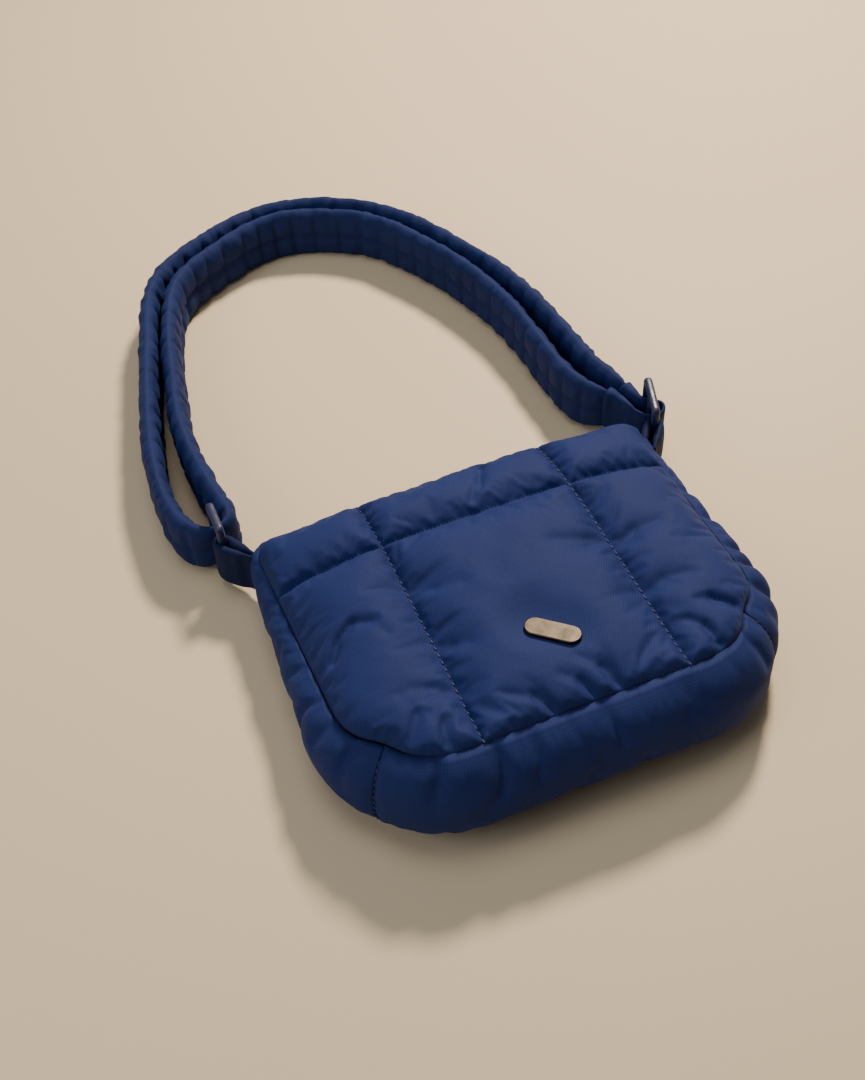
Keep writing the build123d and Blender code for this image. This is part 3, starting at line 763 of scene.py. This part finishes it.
def strap_shape(at, level, side, middle):
    """Two rows of quilted cells, pinched edges, and a pinch where the ring holds it."""
    place = np.column_stack([np.repeat(middle, at.shape[1], axis=0), (level * 15).ravel()])
    shift = 3.0 * noise(place * [1, 1, 0], 16.0, 17).reshape(at.shape)
    cell = np.abs(((at + shift) / channel_pitch + 0.5) % 1 - 0.5) * channel_pitch
    ends = np.minimum(at, at.max() - at)
    near_ring = bump(np.linalg.norm(middle - ring_pass, axis=1), 9.0)[:, None]
    lens = np.clip(1 - np.abs(level) ** 3.6, 0, 1) ** 0.5
    channel = 1 - 0.34 * bump(cell, 1.3) - 0.10 * bump(cell, 3.4)
    centre = 1 - 0.45 * bump(level, 0.075)
    uneven = 1 + 0.16 * noise(place, 7.0, 11).reshape(at.shape)
    gather = bump(np.abs(level) - 0.86, 0.16)
    wrinkle = 0.25 * noise(place * [1, 1, 0.35], 2.6, 12).reshape(at.shape)
    wrinkle += 0.9 * gather * noise(place * [1, 1, 0.1], 2.2, 15).reshape(at.shape)
    channel = channel * (1 - gather) + (0.5 + 0.5 * channel) * gather
    half = strap_half * lens * channel * centre * uneven + 0.4 + wrinkle * np.clip(lens, 0.3, 1)
    half *= (1 - 0.55 * near_ring) * (0.45 + 0.55 * np.clip(ends / 12.0, 0, 1))
    wander = 0.5 * noise(np.column_stack([at[:, 0], at[:, 0] * 0, at[:, 0] * 0]), 30.0, 13)
    floor = frame_floor * near_ring + (frame_floor + 0.2) * np.clip(1 - ends / 14.0, 0, 1)
    ceiling = strap_height + 0.6 * noise(place * [1, 1, 0], 18.0, 14).reshape(at.shape)
    ceiling += 0.5 * noise(place * [1, 1, 0], 2.6, 18).reshape(at.shape)
    ceiling += edge_ridge * (level > 0.999)
    height = floor + (ceiling - floor) * (level + 1) / 2
    return side * half + wander[:, None], height


def band_shape(half, floor, ceiling, seed):
    """A folded band with soft edges and a few wrinkles, thin at its ends and round the bar."""
    def shape(at, level, side, middle):
        clear_of_bar = np.clip(np.abs(at - at.max() / 2) / 4.0 - 1, 0, 1)
        clear_of_seam = np.clip(np.minimum(at, at.max() - at) / 4.0 - 1, 0, 1)
        full = half * (0.5 + 0.5 * clear_of_bar * clear_of_seam)
        place = np.column_stack([at.ravel(), (level * (ceiling - floor) / 2).ravel(),
                                 (side * 3).ravel()])
        lens = np.clip(1 - np.abs(level) ** 5, 0, 1) ** 0.5
        ripple = 0.35 * noise(place * [1, 0.5, 1], 3.2, seed).reshape(at.shape)
        out = side * (full * (0.3 + 0.7 * lens) + ripple * lens)
        out += 0.35 * noise(place * [1, 0.3, 0], 9.0, seed + 1).reshape(at.shape)
        return out, floor + (ceiling - floor) * (level + 1) / 2
    return shape


def end_loop_shape(at, level, side, middle):
    """Still padded where it is folded over the strap's ends, and flat round the slider's bar."""
    ends = np.minimum(at, at.max() - at)
    full = np.clip(1 - ends / 17.0, 0, 1) ** 0.8
    place = np.column_stack([at.ravel(), (level * 13).ravel(), (side * 3).ravel()])
    lens = np.clip(1 - np.abs(level) ** 4, 0, 1) ** 0.5
    ripple = noise(place * [1, 0.4, 1], 3.4, 21).reshape(at.shape)
    out = side * ((0.4 + 3.6 * full) * lens * (1 + 0.15 * ripple) + 0.45 + 0.15 * ripple)
    low, high = (corner[2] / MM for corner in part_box("strap_end_loop"))
    top = high - 2.2 * (1 - full) ** 2 + 0.8 * noise(place * [1, 0, 0], 7.0, 22).reshape(at.shape)
    return out, low + (top - low) * (level + 1) / 2


def make_strap():
    strap = make_ribbon("padded_strap", strap_route, 1.3, 32, strap_shape, strap_twill,
                        "strap")
    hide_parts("strap")
    loop = make_ribbon("strap_end_loop_cloth", end_loop_route, 0.8, 28, end_loop_shape,
                       strap_twill, "strap")
    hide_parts("strap_end_loop")


def make_tab(side, bar_centre, root, root_spread):
    """A folded fabric loop from the gusset's corner round a frame's near bar, and back.

    root_spread is the share of the bar's room that the two layers stay apart where they are sewn.
    """
    inner = frame_bar_half + tab_clearance + tab_bend_half
    ahead = np.array(bar_centre) - np.array(root)
    ahead = ahead / np.linalg.norm(ahead)
    across = np.array([-ahead[1], ahead[0]])
    route = [np.array(root) - 3 * ahead + across * inner * root_spread]
    route.append(np.array(bar_centre) - 5.0 * ahead + across * inner * 0.85)
    for angle in range(60, -61, -30):
        turn = math.radians(angle)
        route.append(np.array(bar_centre) + 1.15 * inner * (math.cos(turn) * ahead
                                                          + math.sin(turn) * across))
    route.append(np.array(bar_centre) - 5.0 * ahead - across * inner * 0.85)
    route.append(np.array(root) - 3 * ahead - across * inner * root_spread)
    low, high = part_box(f"tab_loop_{side}")
    tab = make_ribbon(f"tab_{side}_cloth", [tuple(p) for p in route], 0.8, 20,
                      band_shape(tab_half, low[2] / MM, high[2] / MM, 31), tab_twill, None)
    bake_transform(tab)
    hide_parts(f"tab_base_{side}", f"tab_loop_{side}")


# ---------------------------------------------------------------- stitches and zip coil


def capsule_tree():
    """Geometry nodes: small rounded bars, evenly spaced along a line of edges."""
    tree = bpy.data.node_groups.new("bars_along_a_line", "GeometryNodeTree")
    sockets = {"Geometry": "NodeSocketGeometry", "Spacing": "NodeSocketFloat",
               "Length": "NodeSocketFloat", "Radius": "NodeSocketFloat",
               "Lean": "NodeSocketFloat", "Up": "NodeSocketVector",
               "Material": "NodeSocketMaterial"}
    for name, kind in sockets.items():
        tree.interface.new_socket(name, in_out="INPUT", socket_type=kind)
    tree.interface.new_socket("Geometry", in_out="OUTPUT", socket_type="NodeSocketGeometry")
    given = tree.nodes.new("NodeGroupInput").outputs
    line = add_node(tree, "GeometryNodeMeshToCurve", {"Mesh": given["Geometry"]})
    even = add_node(tree, "GeometryNodeResampleCurve",
                    {"Curve": line.outputs["Curve"], "Length": given["Spacing"]}, mode="LENGTH")
    ahead = add_node(tree, "GeometryNodeInputTangent")
    along = add_node(tree, "FunctionNodeAlignRotationToVector",
                     {"Vector": ahead.outputs["Tangent"]}, axis="Z")
    upright = add_node(tree, "FunctionNodeAlignRotationToVector",
                       {"Rotation": along.outputs["Rotation"], "Vector": given["Up"]},
                       axis="X", pivot_axis="Z")
    half = add_node(tree, "ShaderNodeMath", {0: given["Length"], 1: 0.5}, operation="MULTIPLY")
    size = add_node(tree, "ShaderNodeCombineXYZ",
                    {"X": given["Radius"], "Y": given["Radius"], "Z": half.outputs["Value"]})
    grain = add_node(tree, "GeometryNodeMeshUVSphere", {"Segments": 8, "Rings": 6, "Radius": 1.0})
    laid = add_node(tree, "GeometryNodeInstanceOnPoints",
                    {"Points": even.outputs["Curve"], "Instance": grain.outputs["Mesh"],
                     "Rotation": upright.outputs["Rotation"], "Scale": size.outputs["Vector"]})
    lean = add_node(tree, "ShaderNodeCombineXYZ", {"X": given["Lean"]})
    leaning = add_node(tree, "GeometryNodeRotateInstances",
                       {"Instances": laid.outputs["Instances"], "Rotation": lean.outputs["Vector"]})
    solid = add_node(tree, "GeometryNodeRealizeInstances",
                     {"Geometry": leaning.outputs["Instances"]})
    smooth = add_node(tree, "GeometryNodeSetShadeSmooth", {"Geometry": solid.outputs["Geometry"]})
    dressed = add_node(tree, "GeometryNodeSetMaterial",
                       {"Geometry": smooth.outputs["Geometry"], "Material": given["Material"]})
    result = tree.nodes.new("NodeGroupOutput")
    tree.links.new(dressed.outputs["Geometry"], result.inputs["Geometry"])
    return tree


bars = capsule_tree()


def bars_along(name, lines, spacing, length, radius, lean, up, material, body):
    """One piece of small bars along several polylines, all sizes in millimetres."""
    points = np.vstack(lines)
    edges = []
    first = 0
    for line in lines:
        edges += [(first + i, first + i + 1) for i in range(len(line) - 1)]
        first += len(line)
    mesh = bpy.data.meshes.new(name)
    mesh.from_pydata((points * MM).tolist(), edges, [])
    guide = add_object(name, mesh)
    maker = guide.modifiers.new("bars", "NODES")
    maker.node_group = bars
    values = {"Spacing": spacing * MM, "Length": length * MM, "Radius": radius * MM,
              "Lean": math.radians(lean), "Up": up, "Material": material}
    for item in bars.interface.items_tree:
        if item.in_out == "INPUT" and item.name in values:
            maker[item.identifier] = values[item.name]
    evaluated = guide.evaluated_get(bpy.context.evaluated_depsgraph_get())
    made = bpy.data.meshes.new_from_object(evaluated)
    guide.modifiers.clear()
    guide.data = made
    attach(guide, body)
    return guide


def make_stitches():
    """Thread down the two upright seams, and up the gussets' corner joints."""
    lines = []
    for side in (-1, 1):
        rows = np.linspace(front_high[1] - 1, front_low[1] + 1, 120)
        plan = np.column_stack([np.full(120, side * upright_seam_x), rows])
        lines.append(np.column_stack([plan, quilt_z(*plan.T) + 0.4]))
    bars_along("front_topstitching", lines, stitch_pitch, stitch_length, thread_radius, 14,
               (0, 0, 1), thread_nylon, "bag")
    joints = []
    for index in (corner_joint, outline_count - corner_joint):
        share = np.linspace(0.06, 0.94, 60)
        seam_line, bulge = gusset_point(np.full(60, float(index)), share)
        joints.append(seam_line + bulge * (belly_share * 0.9 + 0.015))
    bars_along("corner_joint_stitching", joints, stitch_pitch * 0.8, stitch_length * 0.85,
               thread_radius * 0.9, 10, (1, -1, 0), thread_nylon, "bag")


def make_zip():
    """Two rows of nylon coil, on tapes that are sewn in under the panels' edges."""
    for name, sign in (("zip_row_front", 1), ("zip_row_back", -1)):
        low, high = (np.array(corner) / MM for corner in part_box(name))
        middle = (low + high) / 2
        line = np.array([(low[0], middle[1] + 0.3, middle[2]), (high[0], middle[1] + 0.3, middle[2])])
        line[:, 0] += 0.4 * sign
        coil = bars_along(f"{name}_coil", [line], coil_pitch, coil_width, coil_radius, 90,
                          (0, 1, 0), coil_nylon, "bag")
        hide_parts(name)


# ---------------------------------------------------------------- the CAD pieces that stay

cad_finish = {
    "zip_tape_front": tape_weave, "zip_tape_back": tape_weave, "zip_end_tab_left": tape_weave,
    "zip_end_tab_right": tape_weave, "gusset_lining": lining_weave, "back_lining": lining_weave,
    "front_lining": lining_weave, "back_seam_binding": tape_weave,
    "front_seam_binding": tape_weave, "zip_bottom_stop": zip_enamel, "zip_top_stops": zip_enamel,
    "zip_slider_body": zip_enamel, "zip_puller_pin": zip_enamel, "zip_puller": zip_enamel,
    # The badge plate's nickel is darker than the plain nickel, partly as painted shade.
    "ring_left": enamel, "triglide_right": enamel, "badge_plate": nickel,
    "badge_prongs": plain_nickel, "badge_washers": plain_nickel,
}


def finish_cad_nodes():
    for name, material in cad_finish.items():
        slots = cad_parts[name].material_slots
        for slot in slots:
            slot.link = "OBJECT"
            slot.material = material


# ---------------------------------------------------------------- camera, light and floor


def make_camera():
    """Above the bag's lower left, looking down at about 50 degrees."""
    azimuth, elevation, roll = math.radians(-19.5), math.radians(49.6), math.radians(-3.67)
    distance, aside, above = 632.0, -38.3, 36.4
    aim = Vector((0, 0, 20))
    back = Vector((math.sin(azimuth) * math.cos(elevation),
                   -math.cos(azimuth) * math.cos(elevation), math.sin(elevation)))
    level_right = Vector((math.cos(azimuth), math.sin(azimuth), 0))
    level_up = back.cross(level_right)
    right = level_right * math.cos(roll) + level_up * math.sin(roll)
    up = level_up * math.cos(roll) - level_right * math.sin(roll)
    place = aim + back * distance + right * aside + up * above
    data = bpy.data.cameras.new("camera")
    data.sensor_fit = "HORIZONTAL"
    data.sensor_width = 36.0
    data.lens = 58.3
    camera = add_object("camera", data)
    turn = Matrix((right, up, back)).transposed().to_4x4()
    camera.matrix_world = Matrix.Translation(place * MM) @ turn
    bpy.context.scene.camera = camera


def make_light(name, place, aim, size, power, colour):
    data = bpy.data.lights.new(name, "AREA")
    data.shape = "DISK"
    data.size = size
    data.energy = power
    data.color = linear(colour)[:3]
    lamp = add_object(name, data)
    direction = Vector(aim) - Vector(place)
    lamp.matrix_world = (Matrix.Translation(place)
                         @ direction.to_track_quat("-Z", "Y").to_matrix().to_4x4())


def make_stage():
    """A plain pale floor and soft studio light, the key from behind on the right."""
    floor_material, _, plain = new_material("pale_matt_floor")
    plain.inputs["Base Color"].default_value = linear("#DCCFB9")
    plain.inputs["Roughness"].default_value = 0.6
    mesh = bpy.data.meshes.new("floor")
    mesh.from_pydata([(-3, -3, 0), (3, -3, 0), (3, 3, 0), (-3, 3, 0)], [], [(0, 1, 2, 3)])
    mesh.materials.append(floor_material)
    floor = add_object("floor", mesh)
    make_light("key", (0.63, 0.80, 1.0), (0, 0.05, 0), 0.22, 30.0, "#FFE6C6")
    make_light("fill", (-0.95, -0.1, 0.8), (0, 0, 0), 0.7, 4.0, "#F2EEE6")
    make_light("top", (-0.1, 0.2, 1.5), (0, 0.05, 0), 0.9, 5.0, "#FFF4E4")
    world = bpy.data.worlds.new("studio")
    world.use_nodes = True
    world.node_tree.nodes["Background"].inputs["Color"].default_value = linear("#E8DFD0")
    world.node_tree.nodes["Background"].inputs["Strength"].default_value = 0.14
    bpy.context.scene.world = world


make_camera()
make_stage()
make_front_panel()
make_gusset("side_gusset_right_cloth", "side_gusset_right", STEPS["top"], corner_joint,
            right_folds, 41)
make_gusset("bottom_gusset_cloth", "bottom_gusset", corner_joint, outline_count - corner_joint,
            bottom_folds, 42)
make_gusset("side_gusset_left_cloth", "side_gusset_left", outline_count - corner_joint,
            outline_count - STEPS["top"], left_folds, 43)
make_back_panel()
make_strap()
make_tab("left", (-110.0, 92.0), (-101.0, 80.0), 0.3)
make_tab("right", (110.0, 77.0), (101.0, 66.0), 0.8)
make_stitches()
make_zip()
finish_cad_nodes()
